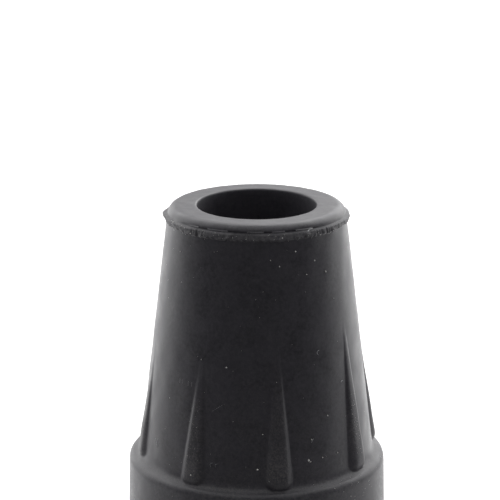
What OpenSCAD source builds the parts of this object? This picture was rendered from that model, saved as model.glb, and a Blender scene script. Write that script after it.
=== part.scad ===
// Rubber cane tip: a one-piece moulded cap that is pushed onto the end of a 12 mm tube.
// The round body stands on a wider foot, and eight tapered ribs stiffen its side.
// Origin at the middle of the underside, +Z up along the socket.
// A rib points along each of +X, +Y, -X and -Y, with one more between each two.

/* [Overall] */
// from the floor to the flat rim
total_h = 35; // [32:0.5:40]

/* [Socket] */
// inside width of the socket, a line-to-line push fit on the tube
bore_d = 12; // [10:0.5:13]
// from the rim down to the socket's flat floor
bore_depth = 26; // [20:1:27]
// rounding of the socket's mouth
mouth_round = 0.25; // [0.1:0.05:0.4]

/* [Rim] */
// outer edge of the flat ring around the mouth
rim_flat_d = 16.24; // [15.6:0.04:16.4]
// rounding between the flat ring and the side of the rim
rim_round = 0.82; // [0.6:0.02:0.9]
// width over the thin ridge that the mould leaves where its halves close
ridge_d = 18.52; // [18.3:0.04:18.8]
// from the rim down to the ridge's lower root
ridge_drop = 1.5; // [1.35:0.05:1.8]
// height of the slopes above and below the ridge's outer face
ridge_slope_h = 0.19; // [0.1:0.01:0.25]

/* [Body] */
// width of the body right under the ridge
neck_d = 18.18; // [17.8:0.02:18.2]
// width of the body's side where it would meet the shoulder's top
root_d = 24.06; // [23.6:0.02:24.1]

/* [Foot] */
// from the floor to the top of the shoulder's rounding
foot_h = 8.85; // [7:0.05:11]
// how far the top of the foot's wall stands outside the body's side
foot_ledge = 1.15; // [0.9:0.05:1.6]
// how much further the wall stands out at the floor
foot_flare = 0.17; // [0.1:0.01:0.8]
// full rounding that leads the shoulder into the foot's wall
shoulder_round = 0.8; // [0.6:0.05:0.9]
// hollow rounding that leads the body's side into the shoulder
hollow_round = 1.05; // [0.9:0.05:1.3]
// straight run between the two roundings
shoulder_run = 0.15; // [0.1:0.05:0.3]
// rounding between the foot's wall and the underside
floor_round = 0.6; // [0.3:0.1:1]

/* [Ribs] */
// ribs around the body
rib_count = 8; // [4:1:12]
// radius of the round end of a rib
rib_end_r = 1.6; // [1.2:0.1:1.8]
// how far a rib stands proud of the body at its round end
rib_rise = 0.6; // [0.3:0.05:0.8]
// from the shoulder's top up to the middle of the round end
rib_end_up = 1; // [0.8:0.1:2]
// from the rim down to the rib's point, which lies under the skin
rib_point_drop = 9; // [6:0.5:12]
// how deep that point lies under the skin
rib_point_sink = 0.15; // [0.1:0.05:0.3]

/* [Hidden] */
$fn = 96;
bore_r = bore_d / 2;
rim_flat_r = rim_flat_d / 2;
rim_r = rim_flat_r + rim_round;
rim_side_z = total_h - rim_round;
ridge_r = ridge_d / 2;
ridge_low_z = total_h - ridge_drop;
neck_r = neck_d / 2;
root_r = root_d / 2;
foot_top_r = root_r + foot_ledge;
foot_r = foot_top_r + foot_flare;
// the body narrows evenly from the shoulder up to the ridge
function body_r(z) = root_r + (neck_r - root_r) * (z - foot_h) / (ridge_low_z - foot_h);
body_slope = atan2(root_r - neck_r, ridge_low_z - foot_h);
// middle of the shoulder's full rounding, and how far it lies outside the body's side
full_r = foot_top_r - shoulder_round;
full_z = foot_h - shoulder_round;
full_away = (full_r - root_r) * cos(body_slope) + (full_z - foot_h) * sin(body_slope);
// the straight run faces this many degrees above the horizontal
reach = hollow_round + shoulder_round;
apart = norm([reach, shoulder_run]);
run_faces = body_slope + acos((hollow_round - full_away) / apart) - atan2(shoulder_run, reach);
run_low_r = full_r + shoulder_round * cos(run_faces);
run_low_z = full_z + shoulder_round * sin(run_faces);
run_high_r = run_low_r - shoulder_run * sin(run_faces);
run_high_z = run_low_z + shoulder_run * cos(run_faces);
// middle of the hollow rounding, and where it touches the body's side
hollow_r = run_high_r + hollow_round * cos(run_faces);
hollow_z = run_high_z + hollow_round * sin(run_faces);
touch_r = hollow_r - hollow_round * cos(body_slope);
touch_z = hollow_z - hollow_round * sin(body_slope);
rib_end_z = foot_h + rib_end_up;
rib_end_axis = body_r(rib_end_z) + rib_rise - rib_end_r;
rib_point_z = total_h - rib_point_drop;
rib_point_axis = body_r(rib_point_z) - rib_point_sink;
rib_lean = atan2(rib_end_axis - rib_point_axis, rib_point_z - rib_end_z);
rib_length = norm([rib_end_axis - rib_point_axis, rib_point_z - rib_end_z]);
rubber = [0.03, 0.03, 0.033];

cane_tip();

// the whole tip is one piece of rubber
module cane_tip() {
    color(rubber) {
        union() {
            turned_body();
            ribs();
        }
    }
}

// everything that is round about the socket's axis
module turned_body() {
    rotate_extrude() {
        difference() {
            union() {
                foot_section();
                hollow_section();
                wall_section();
                rim_section();
            }
            socket_section();
        }
    }
}

// foot: slightly wider at the floor, with a round shoulder and a round bottom edge
module foot_section() {
    polygon([
        [0, 0],
        [foot_r - floor_round, 0],
        [foot_r, floor_round],
        [foot_top_r, full_z],
        [full_r, full_z],
        [0, full_z]
    ]);
    translate([foot_r - floor_round, floor_round]) circle(r = floor_round);
    translate([full_r, full_z]) circle(r = shoulder_round);
}

// hollow rounding between the shoulder's full rounding and the body's side
module hollow_section() {
    difference() {
        polygon([
            [0, full_z],
            [full_r, full_z],
            [run_low_r, run_low_z],
            [run_high_r, run_high_z],
            [hollow_r, hollow_z],
            [touch_r, touch_z],
            [0, touch_z]
        ]);
        translate([hollow_r, hollow_z]) circle(r = hollow_round);
    }
}

// tapered side of the body, from the hollow rounding up to the ridge
module wall_section() {
    polygon([
        [0, touch_z],
        [touch_r, touch_z],
        [neck_r, ridge_low_z],
        [0, ridge_low_z]
    ]);
}

// rim: the mould's ridge, and above it a rounded edge up to the flat ring
module rim_section() {
    polygon([
        [0, ridge_low_z],
        [neck_r, ridge_low_z],
        [ridge_r, ridge_low_z + ridge_slope_h],
        [ridge_r, rim_side_z - ridge_slope_h],
        [rim_r, rim_side_z],
        [rim_flat_r, rim_side_z],
        [rim_flat_r, total_h],
        [0, total_h]
    ]);
    translate([rim_flat_r, rim_side_z]) circle(r = rim_round);
}

// blind socket with a rounded mouth
module socket_section() {
    translate([0, total_h - bore_depth]) square([bore_r, bore_depth]);
    difference() {
        translate([0, total_h - mouth_round]) square([bore_r + mouth_round, mouth_round]);
        translate([bore_r + mouth_round, total_h - mouth_round]) circle(r = mouth_round);
    }
}

// ribs: each grows out of the side from a point and ends round on the shoulder
module ribs() {
    for (i = [0 : rib_count - 1]) {
        rotate([0, 0, i * 360 / rib_count]) rib();
    }
}

// one rib: a leaning cone on a ball
module rib() {
    translate([rib_end_axis, 0, rib_end_z]) {
        rotate([0, -rib_lean, 0]) cylinder(h = rib_length, r1 = rib_end_r, r2 = 0);
        sphere(r = rib_end_r);
    }
}
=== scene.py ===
# %% [markdown]
# # A rubber cane tip, dressed
# A cane tip is a thick cap of black rubber that is pushed onto the end of a walking stick, so that it
# doesn't slip. It is moulded in one piece: a tapered body with eight ribs, on a wider foot, with a
# blind round socket from above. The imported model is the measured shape. This lesson gives it its looks.

# %% Load the measured model
import math

import bmesh
import bpy
import numpy as np
from mathutils import Matrix, Vector
from mathutils.bvhtree import BVHTree


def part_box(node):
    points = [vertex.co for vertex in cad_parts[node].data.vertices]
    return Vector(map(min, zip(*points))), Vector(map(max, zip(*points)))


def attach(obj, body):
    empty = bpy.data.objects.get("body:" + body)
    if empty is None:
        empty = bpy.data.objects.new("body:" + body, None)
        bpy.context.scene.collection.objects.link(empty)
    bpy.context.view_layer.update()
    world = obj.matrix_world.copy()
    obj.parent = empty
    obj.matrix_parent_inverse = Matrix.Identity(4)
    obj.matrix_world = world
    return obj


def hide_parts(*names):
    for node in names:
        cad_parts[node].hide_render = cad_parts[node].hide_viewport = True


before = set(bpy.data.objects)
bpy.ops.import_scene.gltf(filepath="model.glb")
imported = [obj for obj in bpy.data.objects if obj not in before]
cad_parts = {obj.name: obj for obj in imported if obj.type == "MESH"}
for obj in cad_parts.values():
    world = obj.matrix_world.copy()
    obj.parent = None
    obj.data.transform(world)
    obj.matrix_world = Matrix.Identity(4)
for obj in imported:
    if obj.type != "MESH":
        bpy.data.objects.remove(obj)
MM = 0.001
cap_low, cap_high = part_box("cane_tip")
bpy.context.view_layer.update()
RIM_Z = cap_high.z / MM
print("the cap is", [round((b - a) / MM, 2) for a, b in zip(cap_low, cap_high)], "mm along x, y and z")

# %% [markdown]
# ## The camera
# A product like this is photographed with a long lens from a little above its rim, so that the socket
# shows as a flat ellipse. The place, tilt and lens below were worked out from the ellipses of the
# socket, the rim and the foot. Blender can hold a camera by rotation angles, by a Track To constraint
# or by a matrix. A matrix made of three directions is used, because each of them can be read.

# %% Camera
CAMERA_TURN = math.radians(-102.3)
CAMERA_AWAY = 200.0 * MM
CAMERA_HEIGHT = 86.88 * MM
LOOK_DOWN = math.radians(15.841)
LOOK_LEFT = math.radians(0.187)
towards_camera = Vector((math.cos(CAMERA_TURN), math.sin(CAMERA_TURN), 0.0))
picture_right = Vector((-towards_camera.y, towards_camera.x, 0.0))
ahead = -towards_camera * math.cos(LOOK_DOWN) - Vector((0.0, 0.0, math.sin(LOOK_DOWN)))
upward = picture_right.cross(ahead)
sight = ahead * math.cos(LOOK_LEFT) - picture_right * math.sin(LOOK_LEFT)
sideways = picture_right * math.cos(LOOK_LEFT) + ahead * math.sin(LOOK_LEFT)
camera_data = bpy.data.cameras.new("camera")
camera_data.lens = 148.07
camera_data.sensor_width = 36.0
camera_data.clip_start = 0.01
camera_data.clip_end = 10.0
camera = bpy.data.objects.new("camera", camera_data)
bpy.context.scene.collection.objects.link(camera)
camera_place = towards_camera * CAMERA_AWAY + Vector((0.0, 0.0, CAMERA_HEIGHT))
camera_axes = Matrix((sideways, upward, -sight)).transposed().to_4x4()
camera.matrix_world = Matrix.Translation(camera_place) @ camera_axes
bpy.context.scene.camera = camera
bpy.context.scene.view_settings.view_transform = "Standard"
print("camera at", [round(v / MM, 1) for v in camera_place], "mm")

# %% [markdown]
# ## The room
# Black rubber shows mostly what it mirrors: its sides are pale where they mirror the lit sweep behind
# the cap, and its front is dark, because the room behind the camera is. So the world is white behind
# the cap and dims towards the camera. For the camera itself it is plain white.

# %% World
world = bpy.data.worlds.new("studio")
bpy.context.scene.world = world
world.use_nodes = True
tree = world.node_tree
tree.nodes.clear()
world_output = tree.nodes.new("ShaderNodeOutputWorld")
background = tree.nodes.new("ShaderNodeBackground")
background.inputs["Color"].default_value = (1.0, 1.0, 1.0, 1.0)
tree.links.new(background.outputs["Background"], world_output.inputs["Surface"])
directions = tree.nodes.new("ShaderNodeTexCoord")
to_front = tree.nodes.new("ShaderNodeVectorMath")
to_front.operation = "DOT_PRODUCT"
to_front.inputs[1].default_value = towards_camera
tree.links.new(directions.outputs["Generated"], to_front.inputs[0])
dimming = tree.nodes.new("ShaderNodeMapRange")
dimming.interpolation_type = "SMOOTHSTEP"
dimming.inputs["From Min"].default_value = -0.9
dimming.inputs["From Max"].default_value = 0.5
dimming.inputs["To Min"].default_value = 1.0
dimming.inputs["To Max"].default_value = 0.2
tree.links.new(to_front.outputs["Value"], dimming.inputs["Value"])
world_path = tree.nodes.new("ShaderNodeLightPath")
world_strength = tree.nodes.new("ShaderNodeMix")
world_strength.data_type = "FLOAT"
world_strength.inputs["B"].default_value = 1.0
tree.links.new(world_path.outputs["Is Camera Ray"], world_strength.inputs["Factor"])
tree.links.new(dimming.outputs["Result"], world_strength.inputs["A"])
tree.links.new(world_strength.outputs["Result"], background.inputs["Strength"])
print("world is white behind the cap and", dimming.inputs["To Max"].default_value, "in front of it")

# %% [markdown]
# ## Building materials
# Every material here starts as one Principled shader and an output, so a small helper makes those.
# Effects that more than one material needs become node groups. A group hands out a colour, a mask or
# a height, and the shader stays in the material, where its own values can be set.

# %% Material helpers
def new_material(name):
    """A material with one Principled shader that feeds the output."""
    material = bpy.data.materials.new(name)
    material.use_nodes = True
    tree = material.node_tree
    tree.nodes.clear()
    shader = tree.nodes.new("ShaderNodeBsdfPrincipled")
    output = tree.nodes.new("ShaderNodeOutputMaterial")
    tree.links.new(shader.outputs["BSDF"], output.inputs["Surface"])
    return material, tree, shader, output


def add(tree, kind, feeds=None, **settings):
    """Adds a node, and feeds its inputs with values or with the outputs of other nodes."""
    made = tree.nodes.new(kind)
    for setting, value in settings.items():
        setattr(made, setting, value)
    for socket, value in (feeds or {}).items():
        if isinstance(value, bpy.types.NodeSocket):
            tree.links.new(value, made.inputs[socket])
        else:
            made.inputs[socket].default_value = value
    return made


def maths(tree, operation, *values):
    """One step of arithmetic, whose result is handed back."""
    return add(tree, "ShaderNodeMath", dict(enumerate(values)), operation=operation).outputs[0]


def blend(tree, share, first, second):
    """Mixes two colours. The colour sockets of a Mix node are its numbers 6 and 7, and 2 comes out."""
    return add(tree, "ShaderNodeMix", {0: share, 6: first, 7: second}, data_type="RGBA").outputs[2]


def new_group(name, inputs, outputs):
    """A node group whose sockets are given as (name, kind, value)."""
    group = bpy.data.node_groups.new(name, "ShaderNodeTree")
    for socket_name, kind, value in inputs:
        socket = group.interface.new_socket(socket_name, in_out="INPUT", socket_type=kind)
        socket.default_value = value
    for socket_name, kind in outputs:
        group.interface.new_socket(socket_name, in_out="OUTPUT", socket_type=kind)
    return group, group.nodes.new("NodeGroupInput"), group.nodes.new("NodeGroupOutput")


def place_group(tree, group, feeds):
    """Puts a group into a material with its own values."""
    return add(tree, "ShaderNodeGroup", feeds, node_tree=group)


print("material helpers ready")

# %% [markdown]
# ## Effects that the materials share
# Three groups do most of the work. Uneven tone lets a colour wander between a dark and a light one,
# because no moulded, crushed or spun stuff is one flat colour. Fine grain gives the small relief of a
# sand-blasted mould, of crushed stone or of spun fibre. Settled dust lays a thin pale film on a colour,
# thickest where the surface faces up and broken up by a fine noise. An image could hold all of this,
# but noise has no seams and fits a part of any size. All sizes are given in millimetres.

# %% Shared effects
def finished(group, end, results):
    """Leads results out of a group."""
    for socket_name, result in results.items():
        group.links.new(result, end.inputs[socket_name])


def noise(tree, place, size_mm, detail, rough):
    """Noise whose blotches are about this large."""
    scale = maths(tree, "DIVIDE", 1.0 / MM, size_mm)
    feeds = {"Vector": place, "Scale": scale, "Detail": detail, "Roughness": rough}
    return add(tree, "ShaderNodeTexNoise", feeds).outputs[0]


uneven_tone, start, end = new_group(
    "uneven_tone",
    [("Place", "NodeSocketVector", (0.0, 0.0, 0.0)), ("Dark", "NodeSocketColor", (0.0, 0.0, 0.0, 1.0)),
     ("Light", "NodeSocketColor", (1.0, 1.0, 1.0, 1.0)), ("Patch Size", "NodeSocketFloat", 2.0),
     ("Contrast", "NodeSocketFloat", 2.0)],
    [("Colour", "NodeSocketColor"), ("Level", "NodeSocketFloat")])
patches = noise(uneven_tone, start.outputs["Place"], start.outputs["Patch Size"], 4.0, 0.6)
swing = maths(uneven_tone, "SUBTRACT", patches, 0.5)
spread = maths(uneven_tone, "MULTIPLY", swing, start.outputs["Contrast"])
level = add(uneven_tone, "ShaderNodeMath", {0: spread, 1: 0.5}, operation="ADD",
            use_clamp=True).outputs[0]
tone = blend(uneven_tone, level, start.outputs["Dark"], start.outputs["Light"])
finished(uneven_tone, end, {"Colour": tone, "Level": level})

fine_grain, start, end = new_group(
    "fine_grain",
    [("Place", "NodeSocketVector", (0.0, 0.0, 0.0)), ("Grain Size", "NodeSocketFloat", 0.2),
     ("Grain Height", "NodeSocketFloat", 0.001), ("Wave Size", "NodeSocketFloat", 1.5),
     ("Wave Height", "NodeSocketFloat", 0.005)],
    [("Height", "NodeSocketFloat"), ("Grain", "NodeSocketFloat")])
grain = noise(fine_grain, start.outputs["Place"], start.outputs["Grain Size"], 2.0, 0.55)
waves = noise(fine_grain, start.outputs["Place"], start.outputs["Wave Size"], 1.0, 0.4)
grain_mm = maths(fine_grain, "MULTIPLY", grain, start.outputs["Grain Height"])
height_mm = maths(fine_grain, "MULTIPLY_ADD", waves, start.outputs["Wave Height"], grain_mm)
finished(fine_grain, end, {"Height": maths(fine_grain, "MULTIPLY", height_mm, MM), "Grain": grain})

settled_dust, start, end = new_group(
    "settled_dust",
    [("Place", "NodeSocketVector", (0.0, 0.0, 0.0)), ("Facing", "NodeSocketVector", (0.0, 0.0, 1.0)),
     ("Colour", "NodeSocketColor", (0.0, 0.0, 0.0, 1.0)),
     ("Dust Colour", "NodeSocketColor", (0.5, 0.5, 0.5, 1.0)),
     ("Amount", "NodeSocketFloat", 0.1), ("Speckle Size", "NodeSocketFloat", 0.15)],
    [("Colour", "NodeSocketColor"), ("Mask", "NodeSocketFloat")])
facing = add(settled_dust, "ShaderNodeSeparateXYZ", {0: start.outputs["Facing"]}).outputs["Z"]
lying = add(settled_dust, "ShaderNodeMapRange", {"Value": facing, "From Min": -0.4, "From Max": 1.0,
                                                 "To Min": 0.25, "To Max": 1.0}).outputs["Result"]
speckle = noise(settled_dust, start.outputs["Place"], start.outputs["Speckle Size"], 3.0, 0.7)
drifts = noise(settled_dust, start.outputs["Place"], 3.0, 2.0, 0.5)
broken = add(settled_dust, "ShaderNodeMapRange", {"Value": speckle, "From Min": 0.42, "From Max": 0.68,
                                                  "To Min": 0.25, "To Max": 1.9}).outputs["Result"]
drifted = maths(settled_dust, "MULTIPLY", broken, maths(settled_dust, "MULTIPLY", drifts, 2.0))
laid = maths(settled_dust, "MULTIPLY", lying, drifted)
film = maths(settled_dust, "MULTIPLY", laid, start.outputs["Amount"])
film = add(settled_dust, "ShaderNodeMath", {0: film, 1: 1.0}, operation="MINIMUM",
           use_clamp=True).outputs[0]
dusted = blend(settled_dust, film, start.outputs["Colour"], start.outputs["Dust Colour"])
finished(settled_dust, end, {"Colour": dusted, "Mask": film})
print("groups:", [group.name for group in bpy.data.node_groups])

# %% [markdown]
# ## The floor
# The cap stands on a sweep of pale paper. The paper is lit by the lamps, and a little glow that only
# the camera and mirroring surfaces see lifts it to white, so that the cap's shadow stays on it. What
# mirrors it sees that glow behind the cap and close beside it. The paper ends shortly in front of the
# cap, where the dark side of the room begins. Seen from below it lets the view through, and it has a
# hole under the cap, hidden by it, that lets light onto the underside.

# %% Floor
FLOOR_FRONT = 20.0 * MM
FLOOR_BACK = 1500.0 * MM
FLOOR_HALF = 1200.0 * MM
FLOOR_GAP = 0.02 * MM
FLOOR_HOLE = 12.72 * MM
FLOOR_SIDES = 96
FLOOR_GLOW = 0.5
NEAR_GLOW = 0.4
hole_ring, edge_ring = [], []
for i in range(FLOOR_SIDES):
    turn = 2.0 * math.pi * i / FLOOR_SIDES
    forward, across = math.cos(turn), math.sin(turn)
    reach = min((FLOOR_FRONT if forward > 0 else FLOOR_BACK) / max(abs(forward), 1e-6),
                FLOOR_HALF / max(abs(across), 1e-6))
    way = towards_camera * forward + picture_right * across
    hole_ring.append(way * FLOOR_HOLE)
    edge_ring.append(way * reach)
around = [(i, FLOOR_SIDES + i, FLOOR_SIDES + (i + 1) % FLOOR_SIDES, (i + 1) % FLOOR_SIDES)
          for i in range(FLOOR_SIDES)]
floor_mesh = bpy.data.meshes.new("floor")
floor_mesh.from_pydata(hole_ring + edge_ring, [], around)
floor = bpy.data.objects.new("floor", floor_mesh)
bpy.context.scene.collection.objects.link(floor)
floor.location.z = -FLOOR_GAP
paper, tree, shader, output = new_material("pale_paper")
shader.inputs["Base Color"].default_value = (0.8, 0.8, 0.8, 1.0)
shader.inputs["Roughness"].default_value = 0.9
shader.inputs["Specular IOR Level"].default_value = 0.1
paper_path = tree.nodes.new("ShaderNodeLightPath")
paper_side = tree.nodes.new("ShaderNodeNewGeometry")
glow_seen = tree.nodes.new("ShaderNodeMath")
glow_seen.operation = "MULTIPLY"
glow_seen.inputs[1].default_value = FLOOR_GLOW
tree.links.new(paper_path.outputs["Is Camera Ray"], glow_seen.inputs[0])
paper_place = add(tree, "ShaderNodeTexCoord").outputs["Object"]
paper_way = add(tree, "ShaderNodeVectorMath", {0: paper_place}, operation="NORMALIZE").outputs["Vector"]
paper_forward = add(tree, "ShaderNodeVectorMath", {0: paper_way, 1: towards_camera},
                    operation="DOT_PRODUCT").outputs["Value"]
paper_away = add(tree, "ShaderNodeVectorMath", {0: paper_place}, operation="LENGTH").outputs["Value"]
paper_near = add(tree, "ShaderNodeMapRange", {"Value": paper_away, "From Min": 45.0 * MM,
                                              "From Max": 20.0 * MM}).outputs["Result"]
paper_turned = maths(tree, "MULTIPLY_ADD", paper_near, -NEAR_GLOW, paper_forward)
glow_behind = add(tree, "ShaderNodeMapRange", {"Value": paper_turned, "From Min": -0.1,
                                               "From Max": -0.7}).outputs["Result"]
glow_strength = tree.nodes.new("ShaderNodeMath")
glow_strength.operation = "MULTIPLY_ADD"
tree.links.new(glow_behind, glow_strength.inputs[1])
tree.links.new(paper_path.outputs["Is Glossy Ray"], glow_strength.inputs[0])
tree.links.new(glow_seen.outputs["Value"], glow_strength.inputs[2])
glow = tree.nodes.new("ShaderNodeEmission")
tree.links.new(glow_strength.outputs["Value"], glow.inputs["Strength"])
lit_paper = tree.nodes.new("ShaderNodeAddShader")
tree.links.new(shader.outputs["BSDF"], lit_paper.inputs[0])
tree.links.new(glow.outputs["Emission"], lit_paper.inputs[1])
clear = tree.nodes.new("ShaderNodeBsdfTransparent")
one_sided = tree.nodes.new("ShaderNodeMixShader")
tree.links.new(paper_side.outputs["Backfacing"], one_sided.inputs["Fac"])
tree.links.new(lit_paper.outputs["Shader"], one_sided.inputs[1])
tree.links.new(clear.outputs["BSDF"], one_sided.inputs[2])
tree.links.new(one_sided.outputs["Shader"], output.inputs["Surface"])
floor_mesh.materials.append(paper)
print("floor runs from", FLOOR_FRONT / MM, "mm in front to", FLOOR_BACK / MM, "mm behind")

# %% [markdown]
# ## The lamps
# Three softboxes stand behind the cap, to its left, to its right and straight behind, and a weak fourth
# one hangs above it. Low light from behind runs along the rubber's sides and draws their pale edges.
# Blender has point, sun, spot and area lamps. Area lamps are the ones that act like softboxes, so their
# edges stay soft on the round rim.

# %% Softboxes
def softbox(name, turn_deg, away_mm, height_mm, width_mm, tall_mm, power):
    """An area lamp round the cap, with its turn counted from the camera, aimed at the body's middle."""
    data = bpy.data.lights.new(name, "AREA")
    data.shape = "RECTANGLE"
    data.size = width_mm * MM
    data.size_y = tall_mm * MM
    data.energy = power
    lamp = bpy.data.objects.new(name, data)
    bpy.context.scene.collection.objects.link(lamp)
    turn = CAMERA_TURN + math.radians(turn_deg)
    place = Vector((math.cos(turn) * away_mm, math.sin(turn) * away_mm, height_mm)) * MM
    aim = Vector((0.0, 0.0, 0.5 * cap_high.z))
    lamp.location = place
    lamp.rotation_mode = "QUATERNION"
    lamp.rotation_quaternion = (aim - place).to_track_quat("-Z", "Y")
    lamp.visible_camera = False
    print(name, "stands at", [round(v / MM) for v in place], "mm with", power, "W")


softbox("left_softbox", -132.0, 310.0, 195.0, 400.0, 400.0, 0.74)
softbox("right_softbox", 142.0, 300.0, 215.0, 400.0, 400.0, 1.00)
softbox("back_softbox", 180.0, 280.0, 210.0, 360.0, 220.0, 0.07)
softbox("top_softbox", 0.0, 40.0, 300.0, 300.0, 260.0, 0.14)

# %% [markdown]
# ## The cap's profile
# Turned parts are usually drawn as a half section that is spun round the axis. The measured model is
# built that way too, from exact arcs and lines. For the looks, the same section is walked once from
# the socket's floor over the rim and down to the underside, and a ring of points is laid at each step.
# A spun ring can then be dented, torn or ribbed, which a plain Screw modifier couldn't do.

# %% Sizes of the section, in millimetres
SOCKET_R = 6.0
SOCKET_FLOOR_Z = 9.0
MOUTH_ROUND = 0.25
RIM_FLAT_R = 8.12
RIM_ROUND = 0.82
RIM_R = RIM_FLAT_R + RIM_ROUND
RIM_SOFT = 0.98
BODY_LOW_R, BODY_LOW_Z = 12.0, 9.1
BODY_TOP_R, BODY_TOP_Z = 9.09, 33.5
BODY_SLOPE = math.atan2(BODY_LOW_R - BODY_TOP_R, BODY_TOP_Z - BODY_LOW_Z)
SHOULDER_R = 13.18
SHOULDER_ROUND = 0.8
SHOULDER_ROUND_Z = 8.05
HOLLOW_ROUND = 1.1
FOOT_R = 13.35
WALL_SLOPE = math.atan2(FOOT_R - SHOULDER_R, SHOULDER_ROUND_Z - 0.6)
FLOOR_ROUND = 0.6


def body_r(z):
    """Radius of the tapered body at a height."""
    return BODY_LOW_R + (BODY_TOP_R - BODY_LOW_R) * (z - BODY_LOW_Z) / (BODY_TOP_Z - BODY_LOW_Z)


def rim_edge_r(z):
    """Radius of the rim's outer edge, which bends down gently at first and then like an arc."""
    up = np.clip((z - RIM_Z + RIM_ROUND) / RIM_ROUND, 0.0, 1.0)
    return RIM_R - RIM_SOFT + RIM_SOFT * np.sqrt(1.0 - up * up)


def under_rim_r(z):
    """Radius under the rim's edge as it would be without the ridge."""
    flank = np.interp(z, [BODY_TOP_Z, RIM_Z - RIM_ROUND], [BODY_TOP_R, RIM_R])
    return np.where(z > RIM_Z - RIM_ROUND, rim_edge_r(z), np.where(z > BODY_TOP_Z, flank, body_r(z)))


def arc(centre_r, centre_z, radius, start, end, steps, inside_out=1.0):
    """Points on an arc between two angles above the horizontal, in radians."""
    angles = [start + (end - start) * i / steps for i in range(steps + 1)]
    return [(centre_r + inside_out * radius * math.cos(a), centre_z + inside_out * radius * math.sin(a))
            for a in angles]


print("the body leans", round(math.degrees(BODY_SLOPE), 2), "degrees")

# %% [markdown]
# The body runs into the foot by a hollow rounding and leaves it by a full one. The two arcs touch, and
# the angle at which they do follows from their sizes. It is found by halving an interval.

# %% Where the two roundings of the shoulder meet
full_r = SHOULDER_R - SHOULDER_ROUND * math.cos(WALL_SLOPE)
full_z = SHOULDER_ROUND_Z


def hollow_miss(angle):
    """How far the hollow arc stays off the body's side if the arcs meet at this angle."""
    reach = HOLLOW_ROUND + SHOULDER_ROUND
    centre_r = full_r + reach * math.cos(angle)
    centre_z = full_z + reach * math.sin(angle)
    level_away = (centre_r - BODY_LOW_R) * math.cos(BODY_SLOPE)
    upright_away = (centre_z - BODY_LOW_Z) * math.sin(BODY_SLOPE)
    return level_away + upright_away - HOLLOW_ROUND


steep, shallow = math.radians(10.0), math.radians(90.0)
for _ in range(40):
    middle = 0.5 * (steep + shallow)
    if hollow_miss(middle) > 0:
        steep = middle
    else:
        shallow = middle
MEET = 0.5 * (steep + shallow)
hollow_r = full_r + (HOLLOW_ROUND + SHOULDER_ROUND) * math.cos(MEET)
hollow_z = full_z + (HOLLOW_ROUND + SHOULDER_ROUND) * math.sin(MEET)
HOLLOW_TOP_Z = hollow_z - HOLLOW_ROUND * math.sin(BODY_SLOPE)
print("the roundings meet at", round(math.degrees(MEET), 1), "degrees; the hollow starts at",
      round(HOLLOW_TOP_Z, 2), "mm")

# %% [markdown]
# ## Uneven things, made with waves
# Real moulded rubber is never quite even. A sum of a few waves with whole numbers of turns round the
# cap closes on itself, costs little and is the same at each run, because its numbers come from a seed.

# %% Waves round the cap
def ring_waves(turns_low, turns_high, count, seed):
    """A function of the angle, about -1 to 1, made of waves that close round the cap."""
    rng = np.random.default_rng(seed)
    turns = rng.integers(turns_low, turns_high, count)
    phase = rng.uniform(0.0, 2.0 * math.pi, count)

    def value(angle):
        waves = np.cos(np.multiply.outer(angle, turns) + phase)
        return waves.sum(-1) / math.sqrt(count)
    return value


def skin_waves(turns_high, per_mm, count, seed):
    """The same over the skin, as a function of the angle and the height."""
    rng = np.random.default_rng(seed)
    turns = rng.integers(-turns_high, turns_high, count)
    rise = rng.uniform(-per_mm, per_mm, count)
    phase = rng.uniform(0.0, 2.0 * math.pi, count)

    def value(angle, z):
        waves = np.cos(np.multiply.outer(angle, turns) + z * rise + phase)
        return waves.sum(-1) / math.sqrt(count)
    return value


slow_waves = skin_waves(26, 2.2, 26, 11)
print("waves at angle 0:", round(float(slow_waves(np.array([0.0]), 20.0)[0]), 3))

# %% [markdown]
# ## The moulding ridge
# The two halves of the mould meet just under the rim. Rubber that creeps into the gap leaves a thin
# fin there, and it is torn or trimmed off. What is left is a ridge with a ragged lower edge, short
# upright cuts and a few lips that stand out. It could be a bump in the material, but then the outline
# would stay smooth, so it is made in the mesh.

# %% Ridge under the rim
RIDGE_TOP_Z = 34.27
RIDGE_LOW_Z = 33.5
RIDGE_R = 9.25
RIDGE_LEAN_FRONT, RIDGE_LEAN_SIDES = 0.42, -0.22
cuts = ring_waves(70, 210, 30, 21)
cut_places = ring_waves(3, 14, 8, 22)
ragged = ring_waves(40, 150, 24, 23)
sagging = ring_waves(8, 36, 10, 25)
swelling = ring_waves(4, 22, 10, 24)
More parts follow.
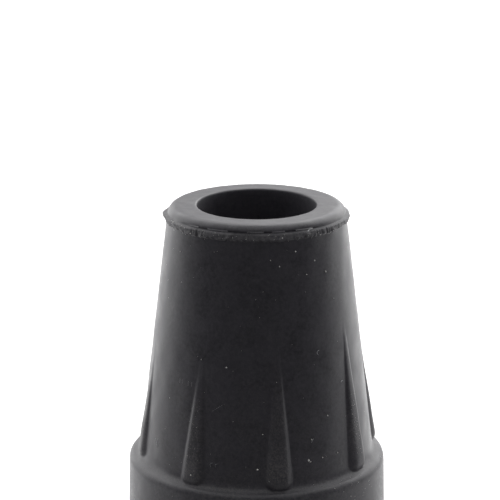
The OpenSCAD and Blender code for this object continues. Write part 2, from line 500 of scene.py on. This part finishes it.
# torn places: turn from the camera in degrees, half width, how far it stands out, height, half height
TORN = [(-93.0, 7.0, 0.16, 34.05, 0.22), (-84.0, 4.0, 0.13, 33.95, 0.25), (-70.0, 3.0, 0.07, 33.75, 0.2),
        (-62.5, 2.2, 0.09, 34.0, 0.12), (-56.0, 1.6, -0.12, 33.62, 0.14), (-46.0, 2.0, 0.07, 33.7, 0.12),
        (-39.0, 1.2, -0.10, 33.7, 0.2), (-20.0, 0.9, -0.10, 33.8, 0.22), (-17.5, 0.7, 0.07, 33.8, 0.22),
        (-15.5, 0.8, -0.09, 33.75, 0.22), (14.0, 1.5, 0.06, 33.7, 0.1), (27.0, 1.2, 0.07, 33.8, 0.15),
        (33.0, 2.0, 0.08, 33.9, 0.12), (46.0, 1.4, 0.08, 33.8, 0.2), (55.0, 2.4, 0.09, 33.75, 0.14),
        (64.0, 1.5, 0.10, 33.6, 0.12), (69.5, 1.8, -0.20, 33.55, 0.16), (72.5, 1.2, 0.10, 33.55, 0.14),
        (76.0, 1.6, -0.16, 33.6, 0.15), (84.0, 4.0, 0.10, 34.05, 0.16), (96.0, 6.0, 0.08, 33.95, 0.2),
        (128.0, 3.0, 0.08, 33.9, 0.15), (151.0, 2.0, -0.12, 33.7, 0.16), (-171.0, 3.0, 0.09, 33.8, 0.15),
        (-140.0, 2.5, -0.12, 33.65, 0.15), (-118.0, 4.0, 0.10, 33.95, 0.16)]


def smooth_step(x):
    """0 below 0, 1 above 1, and smooth between."""
    t = np.clip(x, 0.0, 1.0)
    return t * t * (3.0 - 2.0 * t)


def ridge_sag(angle):
    """How far the ridge's top lies above or below its usual height. It is lower at the sides."""
    front = np.clip(np.cos(angle - CAMERA_TURN), 0.0, 1.0)
    return 0.03 - 0.12 * (1.0 - front) - 0.012 * swelling(angle)


def ridge_r(angle, z):
    """Radius of the skin under the rim, with the ridge standing out of the plain one."""
    plain_r = under_rim_r(z)
    front = np.clip(np.cos(angle - CAMERA_TURN), 0.0, 1.0)
    lean = RIDGE_LEAN_SIDES + (RIDGE_LEAN_FRONT - RIDGE_LEAN_SIDES) * front
    out = RIDGE_R + 0.035 * swelling(angle) - lean * np.maximum(z - RIDGE_LOW_Z - 0.15, 0.0)
    cut = np.clip(cuts(angle) - 0.15, 0.0, None) * np.clip(0.6 + 0.5 * cut_places(angle), 0.1, 1.2)
    out = out - 0.05 * cut * smooth_step((RIDGE_TOP_Z - 0.05 - z) / 0.15)
    low = RIDGE_LOW_Z - 0.06 * ragged(angle) - 0.07 * sagging(angle)
    top = RIDGE_TOP_Z + ridge_sag(angle)
    for turn_deg, half_deg, stands, centre_z, half_z in TORN:
        turned = np.angle(np.exp(1j * (angle - CAMERA_TURN - math.radians(turn_deg))))
        near = np.exp(-(turned / math.radians(half_deg)) ** 2 - ((z - centre_z) / half_z) ** 2)
        out = out + stands * near
    share = smooth_step((top + 0.03 - z) / 0.26) * smooth_step((z - low) / 0.17)
    return plain_r + np.clip(out - plain_r, 0.0, None) * share


probe = np.linspace(0.0, 2.0 * math.pi, 720)
probe_r = ridge_r(probe, np.full(720, 33.9))
print("the ridge's radius runs from", round(float(probe_r.min()), 2), "to",
      round(float(probe_r.max()), 2), "mm")

# %% [markdown]
# ## The ribs
# Each rib is cut into the mould by a tapered ball cutter: a long round cone that leans with the body,
# grows out of it from a point and ends as a ball on the shoulder. The cutter was set by hand, so the
# ribs that the picture shows are a little off their even places. A rib and the body meet in a small
# fillet, which keeps the edge from looking knife-cut.

# %% Ribs
RIB_END_R = 1.6
RIB_END_Z = 9.85
RIB_RISE = 0.6
RIB_POINT_Z = 26.0
RIB_POINT_AXIS = body_r(RIB_POINT_Z) - 0.15
RIB_FILLET = 0.11
RIB_WORN = 0.12
# place in the part, degrees off at the foot and at the point, its height against the others, and how
# much lower it ends
RIBS = [(0.0, -1.6, -2.2, 0.02, 0.0), (45.0, 0.0, 0.0, 0.0, 0.0), (90.0, 0.5, 0.3, -0.04, 0.1),
        (135.0, -0.6, 0.2, 0.01, 0.0), (180.0, 0.6, 2.0, -0.14, 0.0), (225.0, 0.4, 3.2, -0.10, 0.35),
        (270.0, -1.7, -1.3, 0.02, 0.2), (315.0, 0.2, 0.4, 0.03, 0.0)]


def ribbed_r(angle, z, plain_r):
    """The plain radius, pushed out where a rib stands higher."""
    out = np.array(plain_r + np.zeros_like(angle))
    for place_deg, foot_deg, point_deg, higher, lower in RIBS:
        end_z = RIB_END_Z - lower
        share = min(max((z - end_z) / (RIB_POINT_Z - end_z), 0.0), 1.0)
        axis_r = body_r(end_z) + RIB_RISE - RIB_END_R
        axis_r = axis_r + (RIB_POINT_AXIS - axis_r) * share + higher
        round_r = RIB_END_R * (1.0 - share)
        top_r = axis_r + round_r
        if z < end_z:
            round_r = math.sqrt(max(RIB_END_R ** 2 - (end_z - z) ** 2, 0.0))
            top_r = axis_r + round_r
        middle = math.radians(place_deg + foot_deg + (point_deg - foot_deg) * share)
        turned = np.angle(np.exp(1j * (angle - middle)))
        across = np.abs(axis_r * np.sin(turned))
        covered = (across < round_r) & (np.abs(turned) < 0.5)
        lifted = RIB_WORN * min(round_r / RIB_END_R * 1.5, 1.0)
        bulge = np.sqrt(np.clip(round_r ** 2 - across ** 2, 0.0, None))
        rib = (axis_r + lifted) * np.cos(turned) + bulge
        worn = np.clip(RIB_WORN - np.abs(rib - top_r), 0.0, None) / RIB_WORN
        rib = np.minimum(rib, top_r) - worn * worn * RIB_WORN * 0.25
        rib = np.where(covered, rib, -1.0)
        soft = np.clip(RIB_FILLET - np.abs(rib - out), 0.0, None) / RIB_FILLET
        out = np.maximum(rib, out) + soft * soft * RIB_FILLET * 0.25
    return out


probe_rib = float(ribbed_r(np.array([math.pi / 4]), 12.0, body_r(12.0))[0])
print("a rib stands", round(probe_rib - body_r(12.0), 2), "mm out of the body near the foot")

# %% [markdown]
# ## Laying the rings
# Each row of the section gets a ring of points: 750 on the outside, where ridge and ribs need them,
# 250 in the socket and 375 on the foot. Rings of equal count are joined by four-sided faces. Where
# the count changes, it changes by a whole number, so a plain fan of triangles joins the two.

# %% Rows of the section
FINE, COARSE, INNER = 750, 375, 250
RIDGE_STEP = 0.037
rows = []


def add_rows(points, count, kind):
    for r, z in points:
        rows.append((r, z, count, kind))


add_rows([(r, SOCKET_FLOOR_Z) for r in (0.6, 2.4, 4.4, SOCKET_R - 0.2)], INNER, "socket")
add_rows(arc(SOCKET_R - 0.2, SOCKET_FLOOR_Z + 0.2, 0.2, math.radians(-60), 0.0, 2), INNER, "socket")
socket_z = (11.0, 14.0, 18.0, 22.0, 26.0, 29.0, 31.5, 33.2, 34.3)
add_rows([(SOCKET_R, z) for z in socket_z], INNER, "socket")
mouth = arc(SOCKET_R + MOUTH_ROUND, RIM_Z - MOUTH_ROUND, MOUTH_ROUND, math.pi, 0.5 * math.pi, 4)
add_rows(mouth, INNER, "rim")
add_rows([(6.55, RIM_Z)], INNER, "rim")
add_rows([(6.95, RIM_Z), (7.35, RIM_Z), (7.65, RIM_Z)], FINE, "rim")
bends = [math.radians(88.0 - 9.25 * i) for i in range(9)]
edge_z = [RIM_Z - RIM_ROUND * (1.0 - math.sin(a)) for a in bends]
add_rows([(rim_edge_r(z), z) for z in edge_z], FINE, "rim")
ridge_z = [34.36 - RIDGE_STEP * i for i in range(31)]
add_rows([(RIDGE_R, z) for z in ridge_z], FINE, "ridge")
side_z = (32.9, 32.2, 31.3, 30.3, 29.2, 28.0, 26.8, 25.6, 24.4, 23.5)
add_rows([(body_r(z), z) for z in side_z], FINE, "side")
rib_rows = np.linspace(22.9, HOLLOW_TOP_Z, 38)
add_rows([(body_r(z), z) for z in rib_rows], FINE, "ribs")
add_rows(arc(hollow_r, hollow_z, HOLLOW_ROUND, BODY_SLOPE, MEET, 9, -1.0)[1:], FINE, "ribs")
add_rows(arc(full_r, full_z, SHOULDER_ROUND, MEET, WALL_SLOPE, 9)[1:], FINE, "ribs")
for z in (7.6, 6.6, 5.4, 4.2, 3.0, 1.8, 1.0):
    share = (SHOULDER_ROUND_Z - z) / (SHOULDER_ROUND_Z - FLOOR_ROUND)
    add_rows([(SHOULDER_R + (FOOT_R - SHOULDER_R) * share, z)], COARSE, "foot")
bottom = arc(FOOT_R - FLOOR_ROUND, FLOOR_ROUND, FLOOR_ROUND, 0.0, math.radians(-90.0), 6)
add_rows(bottom, COARSE, "foot")
add_rows([(11.2, 0.0), (8.0, 0.0), (4.5, 0.0), (1.2, 0.0)], COARSE, "underside")
print(len(rows), "rings with", sum(row[2] for row in rows), "points")

# %% Points and faces of the cap
def ring_points(r, z, count, kind):
    """One ring of points in metres, with what the row's kind does to it."""
    angle = np.arange(count) * (2.0 * math.pi / count)
    radius = np.full(count, float(r))
    height = np.full(count, float(z))
    if kind == "ridge":
        height = height + ridge_sag(angle) * smooth_step((z - 33.85) / 0.3)
        radius = ridge_r(angle, height)
    if kind == "ribs":
        radius = ribbed_r(angle, z, r)
    if kind in ("ridge", "side", "ribs"):
        radius = radius + 0.014 * slow_waves(angle, z)
    if kind == "rim" and r > SOCKET_R + 0.1:
        height = height - 0.010 * (1.0 + np.clip(slow_waves(angle, 3.0 * r), -1.0, 1.0))
    return np.stack([radius * np.cos(angle), radius * np.sin(angle), height], -1) * MM


points = [ring_points(*row) for row in rows]
starts = np.cumsum([0] + [len(p) for p in points])
points.append(np.array([[0.0, 0.0, SOCKET_FLOOR_Z * MM], [0.0, 0.0, 0.0]]))
socket_middle, under_middle = int(starts[-1]), int(starts[-1]) + 1
faces = []
for k in range(len(rows) - 1):
    upper, lower = rows[k][2], rows[k + 1][2]
    a, b = int(starts[k]), int(starts[k + 1])
    if upper == lower:
        i = np.arange(upper)
        j = (i + 1) % upper
        faces += np.stack([a + i, b + i, b + j, a + j], -1).tolist()
    elif lower > upper:
        ratio = lower // upper
        for i in range(upper):
            j = (i + 1) % upper
            fine = [b + (i * ratio + m) % lower for m in range(ratio + 1)]
            split = (ratio + 1) // 2
            faces += [[a + i, fine[m], fine[m + 1]] for m in range(split)]
            faces.append([a + i, fine[split], a + j])
            faces += [[a + j, fine[m], fine[m + 1]] for m in range(split, ratio)]
    else:
        ratio = upper // lower
        for i in range(lower):
            j = (i + 1) % lower
            fine = [a + (i * ratio + m) % upper for m in range(ratio + 1)]
            split = (ratio + 1) // 2
            faces += [[b + i, fine[m + 1], fine[m]] for m in range(split)]
            faces.append([b + i, b + j, fine[split]])
            faces += [[b + j, fine[m + 1], fine[m]] for m in range(split, ratio)]
first, last = rows[0][2], rows[-1][2]
faces += [[socket_middle, int(starts[0]) + i, int(starts[0]) + (i + 1) % first] for i in range(first)]
low_start = int(starts[-2])
faces += [[under_middle, low_start + (i + 1) % last, low_start + i] for i in range(last)]
cap_mesh = bpy.data.meshes.new("rubber_cap")
cap_mesh.from_pydata(np.concatenate(points).tolist(), [], faces)
cap_mesh.validate()
cap_mesh.shade_smooth()
cap = bpy.data.objects.new("rubber_cap", cap_mesh)
bpy.context.scene.collection.objects.link(cap)
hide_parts("cane_tip")
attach(cap, "root")
print("rubber_cap has", len(cap_mesh.polygons), "faces,",
      sum(len(p.vertices) - 2 for p in cap_mesh.polygons), "triangles")

# %% [markdown]
# ## The rubber
# Carbon black makes this rubber nearly black, with a cool cast. Its skin copies the mould's fine
# sand-blasted grain and is a little wavy, so highlights on it are broad and soft. The ridge is torn
# rubber, which is matter and paler than moulded skin, the socket is dull, the ribs hold some dust, and
# the foot is dusty and scuffed. The height above the floor and the distance from the axis tell these
# places apart: where the skin stands further out than the plain side, it is a rib. Painting a mask by
# hand would work too, but masks made of sizes have no seams and need no unwrapping.

# %% Rubber
rubber, tree, shader, output = new_material("black_rubber")
place = add(tree, "ShaderNodeTexCoord").outputs["Object"]
facing = add(tree, "ShaderNodeNewGeometry").outputs["Normal"]
above = maths(tree, "DIVIDE", add(tree, "ShaderNodeSeparateXYZ", {0: place}).outputs["Z"], MM)
tone = place_group(tree, uneven_tone, {"Place": place, "Dark": (0.0105, 0.0096, 0.0152, 1.0),
                                       "Light": (0.0258, 0.0238, 0.0345, 1.0),
                                       "Patch Size": 2.6, "Contrast": 3.0})
mottle = place_group(tree, uneven_tone, {"Place": place, "Dark": tone.outputs["Colour"],
                                         "Light": (0.037, 0.034, 0.044, 1.0),
                                         "Patch Size": 0.40, "Contrast": 2.6})
torn_low = add(tree, "ShaderNodeMapRange", {"Value": above, "From Min": RIDGE_LOW_Z - 0.05,
                                            "From Max": RIDGE_LOW_Z + 0.1}).outputs["Result"]
torn_top = add(tree, "ShaderNodeMapRange", {"Value": above, "From Min": RIDGE_TOP_Z + 0.05,
                                            "From Max": RIDGE_TOP_Z - 0.1}).outputs["Result"]
torn = maths(tree, "MULTIPLY", torn_low, torn_top)
level_place = add(tree, "ShaderNodeVectorMath", {0: place, 1: (1.0, 1.0, 0.0)},
                  operation="MULTIPLY").outputs[0]
from_axis = add(tree, "ShaderNodeVectorMath", {0: level_place}, operation="LENGTH").outputs["Value"]
far_out = add(tree, "ShaderNodeMapRange", {"Value": from_axis, "From Min": 8.7 * MM,
                                           "From Max": 8.95 * MM}).outputs["Result"]
outer = maths(tree, "MULTIPLY", torn, far_out)
torn_blotches = maths(tree, "MULTIPLY_ADD", mottle.outputs["Level"], 1.1, 0.05)
torn_share = maths(tree, "MULTIPLY", outer, torn_blotches)
torn_colour = blend(tree, torn_share, mottle.outputs["Colour"], (0.085, 0.083, 0.090, 1.0))
low_down = add(tree, "ShaderNodeMapRange", {"Value": above, "From Min": 22.0, "From Max": 7.0,
                                            "To Min": 0.028, "To Max": 0.068}).outputs["Result"]
side_fall = (BODY_TOP_R - BODY_LOW_R) / (BODY_TOP_Z - BODY_LOW_Z)
side_r = maths(tree, "MULTIPLY_ADD", above, side_fall, body_r(0.0))
proud = maths(tree, "SUBTRACT", maths(tree, "DIVIDE", from_axis, MM), side_r)
on_rib = add(tree, "ShaderNodeMapRange", {"Value": proud, "From Min": 0.1,
                                          "From Max": 0.4}).outputs["Result"]
below_points = add(tree, "ShaderNodeMapRange", {"Value": above, "From Min": 28.0,
                                                "From Max": 25.0}).outputs["Result"]
over_foot = add(tree, "ShaderNodeMapRange", {"Value": above, "From Min": 8.8,
                                             "From Max": 9.3}).outputs["Result"]
on_rib = maths(tree, "MULTIPLY", on_rib, maths(tree, "MULTIPLY", below_points, over_foot))
dust_laid = maths(tree, "MULTIPLY_ADD", on_rib, 0.13, low_down)
film = place_group(tree, settled_dust, {"Place": place, "Facing": facing, "Colour": torn_colour,
                                        "Dust Colour": (0.34, 0.33, 0.31, 1.0), "Amount": dust_laid,
                                        "Speckle Size": 0.16})
on_foot = add(tree, "ShaderNodeMapRange", {"Value": above, "From Min": 9.2, "From Max": 8.2,
                                           "To Min": 0.15, "To Max": 1.0}).outputs["Result"]
scuffed = place_group(tree, uneven_tone, {"Place": place, "Dark": film.outputs["Colour"],
                                          "Light": (0.105, 0.103, 0.110, 1.0),
                                          "Patch Size": 0.30, "Contrast": 5.0})
scuffs = maths(tree, "MULTIPLY", scuffed.outputs["Level"], on_foot)
scuffed_places = maths(tree, "MULTIPLY_ADD", tone.outputs["Level"], 0.45, 0.08)
scuffed_share = maths(tree, "MULTIPLY", on_foot, scuffed_places)
scuffed_colour = blend(tree, scuffed_share, film.outputs["Colour"], scuffed.outputs["Colour"])
relief = place_group(tree, fine_grain, {"Place": place, "Grain Size": 0.17, "Grain Height": 0.0035,
                                        "Wave Size": 1.4, "Wave Height": 0.020})
rugged = maths(tree, "MULTIPLY", relief.outputs["Height"], maths(tree, "MULTIPLY_ADD", outer, 2.5, 1.0))
bump = add(tree, "ShaderNodeBump", {"Height": rugged, "Strength": 1.0, "Distance": 1.0})
gloss = maths(tree, "MULTIPLY_ADD", tone.outputs["Level"], 0.09, 0.28)
gloss = maths(tree, "MULTIPLY_ADD", mottle.outputs["Level"], 0.07, gloss)
gloss = maths(tree, "MULTIPLY_ADD", on_rib, 0.06, gloss)
gloss = maths(tree, "MULTIPLY_ADD", outer, 0.15, gloss)
gloss = maths(tree, "MULTIPLY_ADD", film.outputs["Mask"], 0.9, gloss)
gloss = maths(tree, "MULTIPLY_ADD", scuffs, 0.12, gloss)
near_axis = add(tree, "ShaderNodeMapRange", {"Value": from_axis, "From Min": 6.12 * MM,
                                             "From Max": 6.02 * MM}).outputs["Result"]
over_floor = add(tree, "ShaderNodeMapRange", {"Value": above, "From Min": SOCKET_FLOOR_Z - 1.0,
                                              "From Max": SOCKET_FLOOR_Z - 0.5}).outputs["Result"]
in_socket = maths(tree, "MULTIPLY", near_axis, over_floor)
gloss = maths(tree, "MULTIPLY_ADD", in_socket, 0.3, gloss)
tree.links.new(scuffed_colour, shader.inputs["Base Color"])
tree.links.new(gloss, shader.inputs["Roughness"])
tree.links.new(bump.outputs["Normal"], shader.inputs["Normal"])
shader.inputs["IOR"].default_value = 1.5
cap_mesh.materials.append(rubber)
print("rubber nodes:", len(tree.nodes))

# %% [markdown]
# ## Dust and lint
# Rubber draws dust. A few pale grains and short fibres lie where the picture shows them, and smaller
# ones are strewn all round from a seed, so that no side is cleaner than another. They are real little
# bodies, because a speck that is only painted on would stay flat in a close view. Each is laid on the
# skin by sending a ray from outside towards the axis, and half sunk into it.

# %% Dust grains
skin = BVHTree.FromPolygons([v.co for v in cap_mesh.vertices],
                            [tuple(p.vertices) for p in cap_mesh.polygons])
chance = np.random.default_rng(77)
# turn from the camera in degrees, height, radius of the grain in mm
GRAINS = [(-44.2, 33.69, 0.07), (15.6, 33.82, 0.07), (-53.5, 31.55, 0.06), (24.0, 32.37, 0.06),
          (8.2, 31.69, 0.055), (37.0, 31.19, 0.06), (13.6, 31.06, 0.055), (45.0, 29.85, 0.07),
          (30.6, 29.98, 0.055), (-31.0, 21.53, 0.055), (-16.2, 21.1, 0.065), (38.6, 15.6, 0.06),
          (2.9, 14.58, 0.07), (28.1, 13.59, 0.07), (43.4, 11.58, 0.065), (33.8, 11.54, 0.065),
          (25.9, 11.54, 0.115), (26.9, 11.38, 0.06), (0.4, 11.08, 0.09), (-31.7, 9.99, 0.07),
          (-64.0, 34.1, 0.08)]
# where dust clings: middle turn, half its width, lowest and highest z, number of grains and the largest
# radius among them
PATCHES = [(0.0, 180.0, 0.8, 34.0, 180, 0.028), (-32.5, 3.5, 9.6, 17.5, 40, 0.017),
           (57.0, 2.5, 11.0, 17.0, 40, 0.022), (30.0, 60.0, 33.4, 34.2, 30, 0.030),
           (-50.0, 25.0, 33.3, 34.2, 30, 0.030), (48.0, 14.0, 6.0, 9.0, 30, 0.030)]
for turn_deg, half_deg, low_z, high_z, number, largest in PATCHES:
    for _ in range(number):
        GRAINS.append((turn_deg + chance.uniform(-half_deg, half_deg), chance.uniform(low_z, high_z),
                       chance.uniform(0.4, 1.0) * largest))


def on_skin(turn_deg, z_mm):
    """The point of the skin at this turn from the camera and height, and its outward direction."""
    angle = CAMERA_TURN + math.radians(turn_deg)
    outward = Vector((math.cos(angle), math.sin(angle), 0.0))
    hit, normal, _, _ = skin.ray_cast(outward * 20.0 * MM + Vector((0.0, 0.0, z_mm * MM)), -outward)
    return hit, normal


def new_piece(name, mesh_points, mesh_faces, material):
    """A piece that rides on the cap."""
    mesh = bpy.data.meshes.new(name)
    mesh.from_pydata(mesh_points, [], mesh_faces)
    mesh.validate()
    mesh.shade_smooth()
    mesh.materials.append(material)
    piece = bpy.data.objects.new(name, mesh)
    bpy.context.scene.collection.objects.link(piece)
    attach(piece, "root")
    print(name, "has", len(mesh.polygons), "faces")
    return piece


def grain_shape(subdivisions):
    """Points and faces of a unit ball made of triangles."""
    ball = bmesh.new()
    bmesh.ops.create_icosphere(ball, subdivisions=subdivisions, radius=1.0)
    shape = [v.co.copy() for v in ball.verts], [[v.index for v in f.verts] for f in ball.faces]
    ball.free()
    return shape


ball_points, ball_faces = grain_shape(2)
grain_points, grain_faces = [], []
for turn_deg, z_mm, radius_mm in GRAINS:
    middle, normal = on_skin(turn_deg, z_mm)
    stretch = Vector(chance.uniform(0.7, 1.3, 3).tolist())
    dents = chance.uniform(0.82, 1.1, len(ball_points))
    first = len(grain_points)
    lifted = middle + normal * radius_mm * 0.25 * MM
    for point, dent in zip(ball_points, dents):
        grain_points.append(lifted + point * stretch * radius_mm * dent * MM)
    grain_faces += [[first + i for i in face] for face in ball_faces]
dust, tree, shader, output = new_material("pale_dust")
place = add(tree, "ShaderNodeTexCoord").outputs["Object"]
tone = place_group(tree, uneven_tone, {"Place": place, "Dark": (0.62, 0.61, 0.58, 1.0),
                                       "Light": (0.94, 0.93, 0.90, 1.0),
                                       "Patch Size": 0.5, "Contrast": 3.0})
relief = place_group(tree, fine_grain, {"Place": place, "Grain Size": 0.02, "Grain Height": 0.002,
                                        "Wave Size": 0.06, "Wave Height": 0.004})
bump = add(tree, "ShaderNodeBump", {"Height": relief.outputs["Height"], "Strength": 1.0,
                                    "Distance": 1.0})
tree.links.new(tone.outputs["Colour"], shader.inputs["Base Color"])
dullness = maths(tree, "MULTIPLY_ADD", relief.outputs["Grain"], 0.3, 0.45)
tree.links.new(dullness, shader.inputs["Roughness"])
tree.links.new(bump.outputs["Normal"], shader.inputs["Normal"])
new_piece("dust_grains", grain_points, grain_faces, dust)

# %% [markdown]
# A fibre is a thin tube along a slightly curved path over the skin. Each path is given by its middle,
# its length, its lean from level and how far it bends.

# %% Lint
# turn from the camera in degrees, height, length, lean in degrees, bend, radius, all lengths in mm
FIBRES = [(35.2, 34.2, 0.7, 12.0, 0.1, 0.045), (35.5, 22.09, 0.5, 72.0, 0.35, 0.02),
          (50.8, 18.49, 0.35, 25.0, 0.2, 0.03), (50.2, 18.40, 0.3, 75.0, 0.1, 0.018),
          (-59.7, 11.64, 1.0, -50.0, 0.05, 0.018), (-58.0, 11.8, 0.7, -62.0, 0.05, 0.014),
          (28.6, 13.45, 0.45, 60.0, 0.1, 0.02), (-22.0, 11.2, 0.5, 65.0, 0.4, 0.013),
          (-19.5, 11.2, 0.45, 65.0, 0.4, 0.011), (-20.0, 17.0, 1.6, 35.0, 0.02, 0.006)]
for turn_deg in (-44.5, -42.6, -38.4, -36.2):
    FIBRES.append((turn_deg, 18.87, 0.5, 88.0, 0.02, 0.007))
for _ in range(24):
    FIBRES.append((chance.uniform(75.0, 285.0), chance.uniform(1.2, 33.0), chance.uniform(0.3, 0.8),
                   chance.uniform(-90.0, 90.0), chance.uniform(-0.3, 0.3), chance.uniform(0.007, 0.012)))
STEPS, SIDES = 10, 6
fibre_points, fibre_faces = [], []
for turn_deg, z_mm, length_mm, lean_deg, bend, radius_mm in FIBRES:
    lean = math.radians(lean_deg)
    path, outwards = [], []
    for k in range(STEPS + 1):
        along = (k / STEPS - 0.5) * length_mm
        aside = bend * length_mm * (1.0 - (2.0 * k / STEPS - 1.0) ** 2)
        level = along * math.cos(lean) - aside * math.sin(lean)
        rise = along * math.sin(lean) + aside * math.cos(lean)
        hit, normal = on_skin(turn_deg + math.degrees(level / body_r(z_mm)), z_mm + rise)
        path.append(hit + normal * radius_mm * 0.5 * MM)
        outwards.append(normal)
    first = len(fibre_points)
    for k in range(STEPS + 1):
        before, after = path[max(k - 1, 0)], path[min(k + 1, STEPS)]
        ahead = (after - before).normalized()
        across = ahead.cross(outwards[k]).normalized()
        over = across.cross(ahead)
        thick = radius_mm * MM * (0.45 if k in (0, STEPS) else 1.0)
        for m in range(SIDES):
            turn = 2.0 * math.pi * m / SIDES
            fibre_points.append(path[k] + (across * math.cos(turn) + over * math.sin(turn)) * thick)
    for k in range(STEPS):
        for m in range(SIDES):
            a, b = first + k * SIDES + m, first + k * SIDES + (m + 1) % SIDES
            fibre_faces.append([a, b, b + SIDES, a + SIDES])
    fibre_faces.append([first + m for m in reversed(range(SIDES))])
    fibre_faces.append([first + STEPS * SIDES + m for m in range(SIDES)])
lint, tree, shader, output = new_material("grey_lint")
place = add(tree, "ShaderNodeTexCoord").outputs["Object"]
facing = add(tree, "ShaderNodeNewGeometry").outputs["Normal"]
tone = place_group(tree, uneven_tone, {"Place": place, "Dark": (0.20, 0.21, 0.24, 1.0),
                                       "Light": (0.60, 0.61, 0.64, 1.0),
                                       "Patch Size": 0.8, "Contrast": 3.0})
film = place_group(tree, settled_dust, {"Place": place, "Facing": facing,
                                        "Colour": tone.outputs["Colour"],
                                        "Dust Colour": (0.7, 0.69, 0.66, 1.0), "Amount": 0.3,
                                        "Speckle Size": 0.05})
relief = place_group(tree, fine_grain, {"Place": place, "Grain Size": 0.015, "Grain Height": 0.001,
                                        "Wave Size": 0.08, "Wave Height": 0.003})
bump = add(tree, "ShaderNodeBump", {"Height": relief.outputs["Height"], "Strength": 1.0,
                                    "Distance": 1.0})
tree.links.new(film.outputs["Colour"], shader.inputs["Base Color"])
tree.links.new(maths(tree, "MULTIPLY_ADD", film.outputs["Mask"], 0.3, 0.5), shader.inputs["Roughness"])
tree.links.new(bump.outputs["Normal"], shader.inputs["Normal"])
new_piece("lint", fibre_points, fibre_faces, lint)
